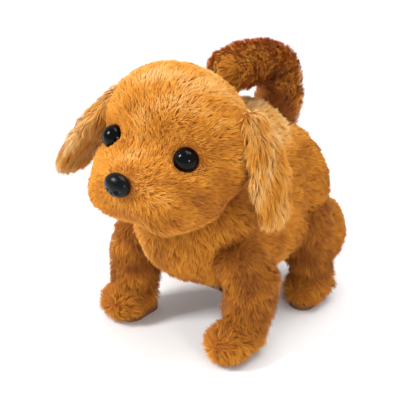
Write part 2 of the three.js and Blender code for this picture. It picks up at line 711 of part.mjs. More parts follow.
function addTail() {
  const path = tailPath();
  const bone = [[0, TAIL.y, 97], ...path.slice(1, -1)];
  const lever = CHASSIS.top - CHASSIS.wall - 0.4;
  const core = (grow) =>
    join(
      tube(bone, 1.6 + grow, 3, 12),
      rod("z", TAIL.post + grow, lever - 1.5, 100, [0, TAIL.y]),
    );
  const hub = rod("z", 3.6, lever - 2, lever, [0, TAIL.y]);
  const arm = join(hub, box([-1.4, TAIL.y - 8, lever - 2], [1.4, TAIL.y, lever]));
  piece("tail_core", join(core(0), arm), legPlastic);
  const fur = join(
    tube(path, TAIL.radius, 6, 14),
    ellipsoid(path.at(-1), [TAIL.radius, 6, TAIL.radius], 0, [12, 8]),
  );
  piece("tail_plush", largest(cut(fur, core(GAP))), plush);
  return [
    rod("z", TAIL.radius + 3.2, TAIL.base - 1.4, TAIL.base + 9, [0, TAIL.y + 3], 16),
    rod("z", TAIL.post + 4, CHASSIS.top - 2, TAIL.base + 2, [0, TAIL.y + 1.5]),
  ];
}

// ---------------------------------------------------------------- the plush coat of the body

function addBodyPlush(legsRoom, tailRoom) {
  const room = 0.4;
  const inside = plate(chassisOutline(-room), -CHASSIS.half - room, CHASSIS.half + room, 3);
  const headRoom = sweep(headForm(2.2, COARSE), NOD_PIVOT, X_AXIS, NOD_STEPS);
  const belly = slab([-16.4, 16.4], [-23.6, 46], [10, CHASSIS.bottom + 1], 3);
  const links = SIDES.map(([, s]) => {
    const travel = 5;
    const ys = [HIP_Y.front - LINK.half - travel, HIP_Y.hind + LINK.half + travel];
    const xs = [s * (CHASSIS.half - room), s * (LINK.outer + ROOM)].sort((a, b) => a - b);
    return box([xs[0], ys[0], LINK.z - LINK.half - 1], [xs[1], ys[1], LINK.z + LINK.half + 1.4]);
  });
  const cranks = SIDES.map(([, s]) => rod("x", 6, s * 22.5, s * 26.6, [HIP_Y.hind, CRANK.z]));
  const neck = neckForm(ROOM);
  const coat = cut(bodyForm(), inside, headRoom, belly, links, cranks, neck, legsRoom, tailRoom);
  piece("body_plush", largest(coat), plush);
}

const legsRoom = addLegs();
addLinks();
addChassis();
addBatteries();
addBatteryDoor();
addElectrics();
addGears();
addHead();
addEars();
const tailRoom = addTail();
addBodyPlush(legsRoom, tailRoom);

export default pet;
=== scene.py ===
"""The looks of a plush walking puppy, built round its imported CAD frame.

Every plush cover is a stuffed skin with pile on it. A skin is a union of rounded lumps, then put under pressure
as cloth that is held where seams, eyes and nose pull it in. The pile is real geometry: short bent strands that
lean and gather in tufts. Lengths in the tables are millimetres, and Blender's are metres.
"""

import math
from dataclasses import dataclass, replace
from typing import Callable

import bmesh
import bpy
import numpy as np
from mathutils import Euler, Matrix, Vector
from mathutils.kdtree import KDTree


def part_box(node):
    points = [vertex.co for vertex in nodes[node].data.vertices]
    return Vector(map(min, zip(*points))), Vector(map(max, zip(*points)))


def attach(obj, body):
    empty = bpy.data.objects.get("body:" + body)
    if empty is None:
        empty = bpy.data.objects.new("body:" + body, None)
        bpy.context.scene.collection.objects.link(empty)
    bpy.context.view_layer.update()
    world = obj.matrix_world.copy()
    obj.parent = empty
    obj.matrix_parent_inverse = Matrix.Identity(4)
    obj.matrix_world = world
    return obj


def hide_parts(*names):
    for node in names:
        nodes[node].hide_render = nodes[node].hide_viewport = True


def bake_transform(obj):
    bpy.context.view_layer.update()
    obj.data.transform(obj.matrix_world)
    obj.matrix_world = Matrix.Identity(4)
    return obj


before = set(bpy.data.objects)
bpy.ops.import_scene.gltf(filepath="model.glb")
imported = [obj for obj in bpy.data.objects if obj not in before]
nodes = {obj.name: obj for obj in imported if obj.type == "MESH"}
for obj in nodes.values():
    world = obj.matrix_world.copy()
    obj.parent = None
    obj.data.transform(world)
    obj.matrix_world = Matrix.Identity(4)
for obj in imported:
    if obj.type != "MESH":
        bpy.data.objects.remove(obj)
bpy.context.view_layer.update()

MM = 0.001
PILE_RISE = 2.0  # how far the pile stands above its skin
SWELL = 1.0  # the furthest that pressure moves a skin
PRESSURE = 30000  # far above what a cushion takes, because these skins are so small
CLOTH_FRAMES = 20
LEFT, RIGHT = 1, -1


# ---------------------------------------------------------------- small helpers
def node_box(name):
    """A CAD node's lowest and highest corners, in millimetres."""
    low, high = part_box(name)
    return np.array(low) / MM, np.array(high) / MM


def middle(name):
    low, high = node_box(name)
    return (low + high) / 2


def ramp(x, start, end):
    """0 before start, 1 after end, and smooth between."""
    t = np.clip((x - start) / (end - start), 0, 1)
    return t * t * (3 - 2 * t)


def unit(v):
    return v / np.maximum(np.linalg.norm(v, axis=-1, keepdims=True), 1e-9)


def across(v, n):
    """The part of each vector that lies along the surface with normal n, at length 1."""
    return unit(v - n * (v * n).sum(1, keepdims=True))


def waves(p, size, seed, count=7):
    """Smooth noise from about -1 to 1 at the points, with features of that size."""
    rng = np.random.default_rng(seed)
    k = unit(rng.normal(size=(count, 3))) * rng.uniform(0.7, 1.4, (count, 1)) * (2 * math.pi / size)
    return np.sin(p @ k.T + rng.uniform(0, 2 * math.pi, count)).sum(1) / math.sqrt(count)


def coords(mesh):
    co = np.empty(len(mesh.vertices) * 3, np.float32)
    mesh.vertices.foreach_get("co", co)
    return co.reshape(-1, 3).astype(float)


def new_object(name, mesh):
    obj = bpy.data.objects.new(name, mesh)
    bpy.context.scene.collection.objects.link(obj)
    return obj


def smooth(mesh):
    mesh.polygons.foreach_set("use_smooth", np.ones(len(mesh.polygons), bool))
    mesh.update()


def settle(obj):
    """Applies the object's modifiers to its mesh."""
    graph = bpy.context.evaluated_depsgraph_get()
    made = bpy.data.meshes.new_from_object(obj.evaluated_get(graph))
    obj.modifiers.clear()
    obj.data = made
    made.name = obj.name


# ---------------------------------------------------------------- plush forms
WORD = {LEFT: "left", RIGHT: "right"}
EYE_RADIUS = 6.0
NOSE_SIZE = np.array([7.0, 4.6, 5.8])


def front_ball(name, depth):
    """The centre of the ball at the front of a CAD node whose stem runs back."""
    low, high = node_box(name)
    return np.array([(low[0] + high[0]) / 2, low[1] + depth, (low[2] + high[2]) / 2])


EYE = {side: front_ball(f"eye_{word}", EYE_RADIUS) for side, word in WORD.items()}
NOSE = front_ball("nose", NOSE_SIZE[1])
HIP_Z = 58.0
SLEEVE_Z = 34.0  # the lower end of the span passed with a leg's cover
LEG_Y = {"front": middle("leg_frame_front_left")[1], "hind": middle("leg_frame_hind_left")[1]}
DOOR_LOW, DOOR_HIGH = node_box("battery_door")
SWITCH_LOW, SWITCH_HIGH = node_box("switch_body")


THINNEST = 1.2  # the least radius that a lump keeps when it is drawn in for the pile


def lump(centre, radii, roll=0.0, yaw=0.0):
    """An ellipsoid, rolled about Y and then turned about Z, in degrees."""
    return Vector(centre), Vector(radii), Euler((0, math.radians(roll), math.radians(yaw))).to_matrix()


def chain(points, radii, steps=7, roll=0.0, yaw=0.0):
    """Lumps along a line, with radii that change evenly between its points."""
    made = []
    for i in range(len(points) - 1):
        for t in np.arange(steps) / steps:
            centre = Vector(points[i]).lerp(Vector(points[i + 1]), t)
            made.append(lump(centre, Vector(radii[i]).lerp(Vector(radii[i + 1]), t), roll, yaw))
    return [*made, lump(points[-1], radii[-1], roll, yaw)]


def within(p, lumps, grow=0.0):
    """Which points lie inside any of the lumps, made bigger by grow."""
    found = np.zeros(len(p), bool)
    for centre, radii, turn in lumps:
        local = (p - np.array(centre)) @ np.array(turn)
        found |= ((local / (np.array(radii) + grow)) ** 2).sum(1) < 1
    return found


BODY = [
    lump((0, -12, 62), (34, 30.5, 34.5)),
    lump((0, -15, 55), (26, 26, 26.5)),
    lump((0, 18, 66), (37.5, 46, 38.5)),
    lump((0, 24, 84), (25, 28, 30)),
    lump((0, 44, 62.5), (38, 28.2, 36.2)),
    *(lump((side * 14, 15, 49), (24, 48, 23)) for side in (LEFT, RIGHT)),
    *(lump((side * 15, -14, 44.5), (16, 17, 16.5)) for side in (LEFT, RIGHT)),
    *(lump((side * 24.5, 53, 35), (18.8, 22.5, 22)) for side in (LEFT, RIGHT)),
]
HEAD = [
    lump((1, -27, 110.8), (43, 25, 36.8)),
    lump((0, -42, 93), (38.5, 24.5, 24)),
    lump((0, -56, 94.5), (22.3, 15.5, 15.5)),
    *(lump((side * 13.5, -53.5, 87.8), (19, 16.5, 14)) for side in (LEFT, RIGHT)),
]
TAIL_LINE = np.array(
    [(0, 53, 98), (0, 57, 108), (0, 57, 118), (0, 51, 125.5), (0, 40, 129.5), (0, 27, 131.5), (0, 13, 131.5)],
    float,
)
TAIL = chain(TAIL_LINE, [(r,) * 3 for r in (13.5, 12.5, 11.8, 11.6, 11.8, 12, 12)], steps=5)
EARS = {
    LEFT: chain(
        [(39.5, -23, 127), (45.5, -21, 112), (48.5, -19.5, 97), (50, -19, 85)],
        [(4.6, 9.5, 7), (5.6, 13, 10), (6.4, 15, 12), (5.8, 13, 12.5)],
        roll=-9,
        yaw=-6,
    ),
    RIGHT: chain(
        [(-36, -25, 124), (-44, -28.5, 112), (-53.5, -33.5, 99), (-59, -35.5, 89)],
        [(4.8, 11.5, 7), (5.8, 16.5, 10), (6.2, 19, 11), (6, 18.5, 11.5)],
        roll=18,
        yaw=6,
    ),
}


def leg_lumps(row, side):
    """One leg's cover: a sleeve from the hip, deeper behind, and a paw that is longer ahead than behind."""
    y, stride = LEG_Y[row], 4 * side
    if row == "front":
        line = [(side * 30, y + 4, 54), (side * 34, y + 7 + stride, 38), (side * 34, y + 5 + stride, 22)]
        sleeve = chain(line, [(12.5, 15, 10), (13.2, 16.5, 11), (12.4, 15, 12)])
        toe_y = y - 7.2 + stride / 6
        toes = lump((side * 34 - 0.8, toe_y, 9.5), (12.6, 13.2, 11.5))
        heel = lump((side * 34, y + 3 + stride / 2, 11), (12, 13, 12.5))
    else:
        line = [(side * 29.5, y + 1, 52), (side * 31.5, y + 2, 24)]
        sleeve = chain(line, [(12.5, 14, 11), (12, 13.5, 12)])
        toes = lump((side * 32, y - 2.5, 9.5), (12.2, 13.5, 11))
        heel = lump((side * 32, y + 5, 11), (11.8, 12, 12.5))
    return [*sleeve, toes, heel]


def swell(obj, held):
    """Swells the skin as cloth under pressure, by at most SWELL, with the held points kept where they are."""
    scene = bpy.context.scene
    before = coords(obj.data)
    group = obj.vertex_groups.new(name="held")
    group.add([int(i) for i in np.flatnonzero(held(before / MM))], 1.0, "REPLACE")
    cloth = obj.modifiers.new("stuffing", "CLOTH")
    cloth.settings.use_pressure = True
    cloth.settings.uniform_pressure_force = PRESSURE
    cloth.settings.vertex_group_mass = "held"
    cloth.settings.effector_weights.gravity = 0
    for step in range(1, CLOTH_FRAMES + 1):
        scene.frame_set(step)
    settle(obj)
    scene.frame_set(1)
    move = coords(obj.data) - before
    far = np.linalg.norm(move, axis=1, keepdims=True)
    after = before + move * np.minimum(1, SWELL * MM / np.maximum(far, 1e-9))
    obj.data.vertices.foreach_set("co", after.astype(np.float32).ravel())
    obj.vertex_groups.clear()


def skin(name, lumps, held, voxel=3.0, openings=(), floor=None):
    """A closed stuffed skin inside the lumps, so that the pile on it ends about at their surface."""
    inset = PILE_RISE + SWELL / 2
    bm = bmesh.new()
    for centre, radii, turn in lumps:
        size = [max(r - inset, THINNEST) * MM for r in radii]
        shape = Matrix.Translation(centre * MM) @ turn.to_4x4() @ Matrix.Diagonal((*size, 1))
        bmesh.ops.create_icosphere(bm, subdivisions=4, radius=1, matrix=shape)
    mesh = bpy.data.meshes.new(name)
    bm.to_mesh(mesh)
    bm.free()
    obj = new_object(name, mesh)
    remesh = obj.modifiers.new("one_skin", "REMESH")
    remesh.mode, remesh.voxel_size = "VOXEL", voxel * MM
    soften = obj.modifiers.new("soften", "SMOOTH")
    soften.factor, soften.iterations = 0.5, 6
    settle(obj)
    swell(obj, held)
    finer = obj.modifiers.new("finer", "SUBSURF")
    finer.levels = finer.render_levels = 1
    settle(obj)
    for opening in openings:
        cutter = new_object(name + "_cutter", opening)
        cut = obj.modifiers.new("opening", "BOOLEAN")
        cut.operation, cut.solver, cut.object = "DIFFERENCE", "EXACT", cutter
        settle(obj)
        bpy.data.objects.remove(cutter)
    if floor is not None:
        co = coords(obj.data)
        co[:, 2] = np.maximum(co[:, 2], floor * MM)
        obj.data.vertices.foreach_set("co", co.astype(np.float32).ravel())
    smooth(obj.data)
    return obj


# ---------------------------------------------------------------- pile
ROOT_DEPTH = 0.3  # how far a strand's root lies under its skin
PILE_FLOOR = 0.35  # the lowest that a strand reaches above the ground


@dataclass
class Coat:
    """How the pile grows on one cover. comb gives its direction and tint its shade, 0 dark and 1 light."""

    comb: Callable
    tint: Callable
    length: float = 4.8
    width: float = 0.32
    density: float = 3.1  # strands per square millimetre
    lean: tuple = (46.0, 74.0)  # degrees from upright, at the root and at the tip
    tuft: float = 2.2
    grain: tuple = (1.0, 1.0, 1.0)  # below 1 along an axis, tufts are longer that way
    gather: float = 0.4
    stray: float = 13.0  # degrees
    trim: Callable = lambda p: 1.0
    grows: Callable = lambda p, n: np.ones(len(p), bool)
    seed: int = 1


def scatter(mesh, density, rng):
    """Points spread evenly over the mesh, and the surface's normals there, in millimetres."""
    mesh.calc_loop_triangles()
    tri = np.empty(len(mesh.loop_triangles) * 3, np.int32)
    mesh.loop_triangles.foreach_get("vertices", tri)
    tri = tri.reshape(-1, 3)
    normal = np.empty(len(mesh.vertices) * 3, np.float32)
    mesh.vertices.foreach_get("normal", normal)
    corner, normal = coords(mesh)[tri] / MM, normal.reshape(-1, 3)[tri]
    area = np.linalg.norm(np.cross(corner[:, 1] - corner[:, 0], corner[:, 2] - corner[:, 0]), axis=1) / 2
    chosen = rng.choice(len(tri), int(area.sum() * density), p=area / area.sum())
    a, b = rng.random(len(chosen)), rng.random(len(chosen))
    a, b = np.where(a + b > 1, 1 - a, a), np.where(a + b > 1, 1 - b, b)
    share = np.stack([1 - a - b, a, b], 1)[:, :, None]
    return (corner[chosen] * share).sum(1), unit((normal[chosen] * share).sum(1))


def tufts(p, coat, rng):
    """For each point, the number and place of the nearest of a few points that stand as tuft centres."""
    count = max(1, int(len(p) / (coat.density * coat.tuft**2)))
    centre = p[rng.choice(len(p), count, replace=False)]
    tree = KDTree(count)
    for i, c in enumerate(centre * coat.grain):
        tree.insert(c, i)
    tree.balance()
    number = np.fromiter((tree.find(q)[1] for q in p * coat.grain), int, len(p))
    return number, centre[number]


def pile(name, base, coat, material):
    """A mesh of strands over the base skin: three triangles each, flat side out, root to tip along V."""
    rng = np.random.default_rng(coat.seed)
    p, n = scatter(base.data, coat.density, rng)
    grown = coat.grows(p, n)
    p, n = p[grown], n[grown]
    count = len(p)
    number, centre = tufts(p, coat, rng)
    tuft_count = number.max() + 1

    along = across(coat.comb(p) + 0.28 * np.stack([waves(p, 13, coat.seed + k) for k in (11, 12, 13)], 1), n)
    side = np.cross(n, along)
    turn = np.radians(coat.stray) * (rng.normal(size=count) * 0.7 + rng.normal(size=tuft_count)[number])
    along = along * np.cos(turn)[:, None] + side * np.sin(turn)[:, None]
    lift = rng.normal(0, 5, count) + rng.normal(0, 5, tuft_count)[number] + 6 * waves(p, 9, coat.seed + 20)
    length = coat.length * coat.trim(p) * rng.uniform(0.75, 1.12, count)
    length = length * rng.uniform(0.85, 1.1, tuft_count)[number]

    def heading(lean):
        angle = np.radians(np.clip(lean + lift, 8, 84))[:, None]
        return n * np.cos(angle) + along * np.sin(angle)

    half = length[:, None] / 2
    knee = p + heading(coat.lean[0]) * half
    tip = knee + heading(coat.lean[1]) * half
    pull = centre - p
    pull -= n * (pull * n).sum(1, keepdims=True) + along * (pull * along).sum(1, keepdims=True) * 0.7
    knee += pull * coat.gather * 0.4
    tip += pull * coat.gather
    roll = np.radians(rng.uniform(-38, 38, count))[:, None]
    out = np.cross(unit(tip - p), n)
    half_width = (coat.width / 2 * rng.uniform(0.75, 1.2, count))[:, None]
    wide = unit(unit(out) * np.cos(roll) + n * np.sin(roll)) * half_width
    root = p - n * ROOT_DEPTH
    co = np.stack([root + wide, root - wide, knee + wide * 0.8, knee - wide * 0.8, tip], 1)
    co[:, :, 2] = np.maximum(co[:, :, 2], PILE_FLOOR)

    shade = coat.tint(p) + rng.normal(0, 0.03, count) + rng.normal(0, 0.035, tuft_count)[number]
    shade = np.clip(shade + 0.06 * waves(p, 15, coat.seed + 30), 0.02, 0.98)
    flat = unit(np.cross(wide, tip - p))
    flat *= np.sign((flat * n).sum(1, keepdims=True))
    shading = unit(n + flat * 0.3)
    strand = np.array([[1, 0, 2], [1, 2, 3], [3, 2, 4]])
    return strand_mesh(name, co * MM, strand, shade, shading, material)


def strand_mesh(name, co, strand, shade, shading, material):
    """Builds the strands' mesh and the map that their material reads: U is the shade, V runs root to tip."""
    count = len(co)
    index = (np.arange(count)[:, None, None] * 5 + strand).reshape(-1)
    mesh = bpy.data.meshes.new(name)
    mesh.vertices.add(count * 5)
    mesh.vertices.foreach_set("co", co.astype(np.float32).ravel())
    mesh.loops.add(len(index))
    mesh.loops.foreach_set("vertex_index", index.astype(np.int32))
    mesh.polygons.add(len(index) // 3)
    mesh.polygons.foreach_set("loop_start", np.arange(0, len(index), 3, dtype=np.int32))
    mesh.update(calc_edges=True)
    half = 0.0015
    u = shade[:, None] + np.array([-half, half, -half, half, 0])
    v = np.broadcast_to([0.02, 0.02, 0.5, 0.5, 0.98], u.shape)
    uv = np.stack([u, v], 2).reshape(-1, 2)[index]
    layer = mesh.uv_layers.new(name="OFBake")
    layer.data.foreach_set("uv", uv.astype(np.float32).ravel())
    smooth(mesh)
    mesh.normals_split_custom_set_from_vertices(np.repeat(shading, 5, axis=0).astype(np.float32))
    mesh.materials.append(material)
    return new_object(name, mesh)


# ---------------------------------------------------------------- materials
def srgb(colour):
    """A colour given as it looks, 0 to 255, as the linear values that a shader takes."""
    c = np.array(colour, float) / 255
    return (*np.where(c <= 0.04045, c / 12.92, ((c + 0.055) / 1.055) ** 2.4), 1.0)


def shader(name):
    """A new material: its node tree and its Principled shader."""
    material = bpy.data.materials.new(name)
    material.use_nodes = True
    return material, material.node_tree, material.node_tree.nodes["Principled BSDF"]


def add(tree, kind, inputs=(), **settings):
    node = tree.nodes.new(kind)
    for key, value in settings.items():
        setattr(node, key, value)
    for key, value in dict(inputs).items():
        if isinstance(value, bpy.types.NodeSocket):
            tree.links.new(value, node.inputs[key])
        else:
            node.inputs[key].default_value = value
    return node


def colour_ramp(tree, factor, stops):
    node = add(tree, "ShaderNodeValToRGB", {"Fac": factor})
    band = node.color_ramp
    while len(band.elements) < len(stops):
        band.elements.new(0.5)
    for element, (position, colour) in zip(band.elements, stops):
        element.position, element.color = position, colour
    return node.outputs["Color"]


def mixed(tree, factor, a, b, blend="MIX"):
    node = tree.nodes.new("ShaderNodeMix")
    node.data_type, node.blend_type = "RGBA", blend
    for socket, value in zip((node.inputs[0], node.inputs[6], node.inputs[7]), (factor, a, b)):
        if isinstance(value, bpy.types.NodeSocket):
            tree.links.new(value, socket)
        else:
            socket.default_value = value
    return node.outputs[2]


PILE_SHADES = [
    (0.0, srgb((88, 42, 18))),
    (0.22, srgb((138, 74, 30))),
    (0.45, srgb((194, 122, 38))),
    (0.62, srgb((226, 153, 54))),
    (0.8, srgb((234, 184, 112))),
    (1.0, srgb((246, 214, 166))),
]


def pile_material(name):
    """Pile fibre: its shade along U, and a darker, redder root along V, partly the fibre's own tone and partly
    painted shade deep in the pile.
    """
    material, tree, bsdf = shader(name)
    uv = add(tree, "ShaderNodeUVMap", uv_map="OFBake")
    part = add(tree, "ShaderNodeSeparateXYZ", {"Vector": uv.outputs["UV"]})
    shade = colour_ramp(tree, part.outputs["X"], PILE_SHADES)
    depth = [(0.0, srgb((226, 202, 160))), (0.55, srgb((246, 240, 228))), (1.0, srgb((255, 255, 255)))]
    root = colour_ramp(tree, part.outputs["Y"], depth)
    tree.links.new(mixed(tree, 1.0, shade, root, "MULTIPLY"), bsdf.inputs["Base Color"])
    bsdf.inputs["Roughness"].default_value = 0.7
    bsdf.inputs["Specular IOR Level"].default_value = 0.15
    bsdf.inputs["Sheen Weight"].default_value = 0.12
    bsdf.inputs["Sheen Roughness"].default_value = 0.4
    bsdf.inputs["Sheen Tint"].default_value = srgb((255, 214, 150))
    return material


def surface(name, colour, other, rough, grain, metallic=0.0, bump=0.15, patches=8.0, shine=0.5):
    """A solid's material: two shades in soft patches, and a fine grain in its roughness and bump. The larger
    grain and patches are, the finer they look."""
    material, tree, bsdf = shader(name)
    spot = add(tree, "ShaderNodeTexCoord").outputs["Object"]
    patch = add(tree, "ShaderNodeTexNoise", {"Vector": spot, "Scale": patches * 10, "Detail": 4.0})
    fine = add(tree, "ShaderNodeTexNoise", {"Vector": spot, "Scale": grain * 100, "Detail": 3.0})
    band = {"Value": patch.outputs["Fac"], "From Min": 0.35, "From Max": 0.65}
    share = add(tree, "ShaderNodeMapRange", band).outputs["Result"]
    tree.links.new(mixed(tree, share, srgb(colour), srgb(other)), bsdf.inputs["Base Color"])
    gloss = add(
        tree,
        "ShaderNodeMapRange",
        {"Value": fine.outputs["Fac"], "To Min": rough - 0.08, "To Max": rough + 0.08},
    )
    tree.links.new(gloss.outputs["Result"], bsdf.inputs["Roughness"])
    relief = add(
        tree, "ShaderNodeBump", {"Height": fine.outputs["Fac"], "Strength": bump, "Distance": 0.1 * MM}
    )
    tree.links.new(relief.outputs["Normal"], bsdf.inputs["Normal"])
    bsdf.inputs["Metallic"].default_value = metallic
    bsdf.inputs["Specular IOR Level"].default_value = shine
    return material


def knit(name, colour, other):
    """The pile's woven backing: fine ribs with soft patches of shade."""
    material, tree, bsdf = shader(name)
    spot = add(tree, "ShaderNodeTexCoord").outputs["Object"]
    warp = add(tree, "ShaderNodeTexWave", {"Vector": spot, "Scale": 700.0, "Distortion": 1.5})
    patch = add(tree, "ShaderNodeTexNoise", {"Vector": spot, "Scale": 90.0, "Detail": 3.0})
    shade = mixed(tree, patch.outputs["Fac"], srgb(colour), srgb(other))
    tree.links.new(mixed(tree, 0.25, shade, warp.outputs["Color"], "MULTIPLY"), bsdf.inputs["Base Color"])
    relief = add(
        tree, "ShaderNodeBump", {"Height": warp.outputs["Fac"], "Strength": 0.5, "Distance": 0.15 * MM}
    )
    tree.links.new(relief.outputs["Normal"], bsdf.inputs["Normal"])
    bsdf.inputs["Roughness"].default_value = 0.92
    bsdf.inputs["Specular IOR Level"].default_value = 0.1
    return material


PILE = pile_material("pile")
BACKING = knit("backing", (176, 104, 40), (150, 82, 30))
EYE_GLOSS = surface("eye_gloss", (1, 1, 2), (4, 3, 4), 0.09, 6, bump=0.0, shine=0.13)
NOSE_SATIN = surface("nose_satin", (5, 5, 6), (11, 10, 12), 0.27, 14, bump=0.2, shine=0.16)

# CAD nodes keep their own meshes. Each row is the start of the nodes' names and their finish. What may show
# under the belly and at the paws is brown, like the plush: the casing, door and leg plastic are a dark brown as
# painted shade, so that where they peek out they look like shadow in the pile.
BOLTS = ("chassis_screw", "battery_door_screw", "neck_pin")
FINISHES = [
    (BOLTS, "steel", (176, 176, 180), (150, 150, 156), 0.3, 20, 1.0),
    (("crankshaft",), "shaft_steel", (190, 190, 192), (160, 160, 166), 0.24, 24, 1.0),
    (("battery_spring", "battery_contact"), "spring_steel", (196, 192, 180), (168, 164, 150), 0.28, 18, 1.0),
    (("eye_washer", "nose_washer"), "washer", (228, 226, 220), (206, 203, 196), 0.5, 12, 0.0),
    (("chassis", "battery_tray", "neck_bracket"), "casing", (84, 50, 26), (98, 60, 32), 0.46, 10, 0.0),
    (("battery_door",), "door", (92, 56, 30), (106, 66, 36), 0.48, 10, 0.0),
    (("battery_left", "battery_right"), "cell", (36, 78, 66), (48, 96, 80), 0.34, 9, 0.0),
    (("leg_frame", "leg_link", "hip_retainer"), "leg_plastic", (150, 94, 46), (136, 82, 38), 0.44, 11, 0.0),
    (("foot_sole",), "sole_rubber", (112, 66, 34), (126, 76, 40), 0.72, 16, 0.0),
    (("head_core", "tail_core"), "core", (222, 218, 208), (204, 199, 188), 0.5, 9, 0.0),
    (("motor_pinion",), "brass", (206, 170, 96), (184, 146, 78), 0.3, 20, 1.0),
    (("gear", "crank_gear"), "gear_plastic", (236, 232, 222), (220, 214, 200), 0.4, 12, 0.0),
    (("motor",), "motor_can", (170, 172, 176), (140, 142, 148), 0.32, 22, 1.0),
    (("circuit_board",), "board", (26, 84, 50), (20, 66, 40), 0.36, 14, 0.0),
    (("speaker",), "speaker_paper", (40, 38, 38), (58, 54, 52), 0.7, 18, 0.0),
    (("switch",), "dark_plastic", (24, 24, 26), (36, 36, 38), 0.42, 12, 0.0),
]


def finish_cad_nodes():
    """Gives the CAD nodes that no piece replaces their procedural finishes."""
    done = set()
    for starts, name, colour, other, rough, grain, metallic in FINISHES:
        material = surface(name, colour, other, rough, grain, metallic)
        for node, obj in nodes.items():
            if node not in done and node.startswith(starts):
                obj.data.materials.clear()
                obj.data.materials.append(material)
                done.add(node)


# ---------------------------------------------------------------- how the pile lies and is shaded
def head_comb(p):
    """Back from the nose, and down on the cheeks."""
    away = unit(p - NOSE)
    return away + np.array([0, 0.25, -0.2])


def near_eye(p):
    return np.minimum(*(np.linalg.norm(p - EYE[side], axis=1) for side in (LEFT, RIGHT)))


def head_trim(p):
    """Short round the eyes and the nose, longest under the jaw."""
    eye = 0.35 + 0.65 * ramp(near_eye(p), 6.5, 12)
    nose = 0.4 + 0.6 * ramp(np.linalg.norm(p - NOSE, axis=1), 7, 15)
    return eye * nose * (0.85 + 0.35 * ramp(-p[:, 2], -88, -74) + 0.1 * ramp(p[:, 1], -30, -10))


def head_tint(p):
    x, y, z = p.T
    # The crown is painted lighter: a painted highlight where the light from above falls on the top of the head.
    lit_crown = ramp(z, 122, 142)
    cheek = ramp(np.abs(x), 18, 36) * ramp(-z, -108, -90)
    bridge = ramp(-np.abs(x), -9, -2) * ramp(z, 104, 112) * ramp(-z, -132, -120)
    muzzle = ramp(-y, 56, 64) * ramp(-z, -96, -86)
    jaw = ramp(-z, -84, -74)
    return 0.56 + 0.15 * lit_crown - 0.17 * cheek + 0.1 * bridge - 0.08 * muzzle + 0.04 * jaw


def head_grows(p, n):
    eye = near_eye(p) > EYE_RADIUS + 0.2
    reach = (p - NOSE) / NOSE_SIZE
    return eye & ((reach**2).sum(1) > 1.0) & ~within(p, BODY, -9)


def body_comb(p):
    """Down the chest, back along the back, and down and back on the flanks."""
    x, y, z = p.T
    chest = ramp(-y, 8, 34)
    flank = ramp(np.abs(x), 12, 32)
    return np.stack([0.15 * x / 35, 1.0 - 0.85 * chest, -0.12 - 0.6 * flank - 1.0 * chest], 1)


def body_tint(p):
    x, y, z = p.T
    # back paints the top of the body lighter: painted light from above, making up for the shade that the head
    # and ears cast there.
    chest, back = ramp(-y, 10, 30), ramp(z, 84, 100)
    # belly paints the underside darker: painted shade under the body.
    rump, belly = ramp(y, 52, 72), ramp(-z, -44, -30)
    # The chest's right side, towards the key light, is painted lighter: a painted highlight.
    key_lit_chest = ramp(-x, 0, 25) * chest
    return 0.44 + 0.02 * chest + 0.28 * key_lit_chest + 0.36 * back - 0.04 * rump - 0.12 * belly


def body_grows(p, n):
    x, y = np.abs(p[:, 0]), p[:, 1]
    door = (x < DOOR_HIGH[0] + 1.6) & (y > DOOR_LOW[1] - 1.6) & (y < DOOR_HIGH[1] + 1.6)
    switch = (x < SWITCH_HIGH[0] + 1) & (y > SWITCH_LOW[1] - 1) & (y < DOOR_LOW[1])
    opening = (door | switch) & (p[:, 2] < 38)
    return ~opening & ~within(p, HEAD, -9)


def star(row, side):
    """The middle of the whorl on the tip of a paw, from where its pile spreads."""
    return np.array([side * 32.5, LEG_Y[row] - 19.5, 11.5])


def leg_coat(row, side, seed):
    whorl = star(row, side)
    # The legs are a darker tone than the body: partly darker fur and partly painted shade low under the body,
    # most on the hind legs.
    shade = {"front": 0.37, "hind": 0.33}[row]

    def comb(p):
        away = p - whorl
        near = ramp(-np.linalg.norm(away, axis=1), -17, -7)[:, None]
        return unit(away) * near + np.array([0.05 * side, 0.18, -1.0]) * (1 - near)

    def tint(p):
        # The inner side of each leg, towards the other legs, is painted darker: painted shade between the legs.
        shaded_inner = ramp(-p[:, 0] * side, -32, -20)
        tip = ramp(-np.linalg.norm(p - whorl, axis=1), -10, -2)
        return shade + 0.1 * ramp(-p[:, 2], -22, -10) + 0.1 * tip - 0.06 * shaded_inner

    def grows(p, n):
        return ~within(p, BODY, -5) & (n[:, 2] > -0.8)

    def trim(p):
        return 0.8 + 0.2 * ramp(p[:, 2], 3, 9)

    return Coat(comb, tint, length=5.2, lean=(36, 64), stray=18, grows=grows, trim=trim, seed=seed)


def ear_coat(side, seed):
    def comb(p):
        middle_y = -19.5 if side == LEFT else -27
        out, down = np.full(len(p), 0.15 * side), np.full(len(p), -1.0)
        return np.stack([out, 0.03 * (p[:, 1] - middle_y), down], 1)

    def tint(p):
        streak = waves(p * np.array([1, 1, 0.22]), 5.5, 77)
        # The right ear is painted lighter than the left: a painted highlight for the light that falls on the
        # far ear.
        return (0.67 if side == LEFT else 0.74) + 0.08 * streak + 0.08 * ramp(p[:, 2], 112, 130)

    return Coat(
        comb, tint, length=6.0, lean=(58, 82), tuft=2.6, grain=(1, 1, 0.3), gather=0.5, stray=6, seed=seed
    )


def tail_comb(p):
    """Along the tail, towards its tip."""
    a, b = TAIL_LINE[:-1], TAIL_LINE[1:]
    gap = np.linalg.norm(p[:, None] - (a + b) / 2, axis=2)
    return unit(b - a)[gap.argmin(1)]


def tail_tint(p):
    _, y, z = p.T
    # The inner curl of the tail is darker, most of all on its rising part: partly darker fur and partly painted
    # shade.
    shaded_inner = ramp(-np.hypot(y - 30, z - 108), -29, -17)
    rising = ramp(y, 26, 46)
    return 0.56 - 0.3 * shaded_inner * (0.3 + 0.7 * rising) - 0.03 * rising


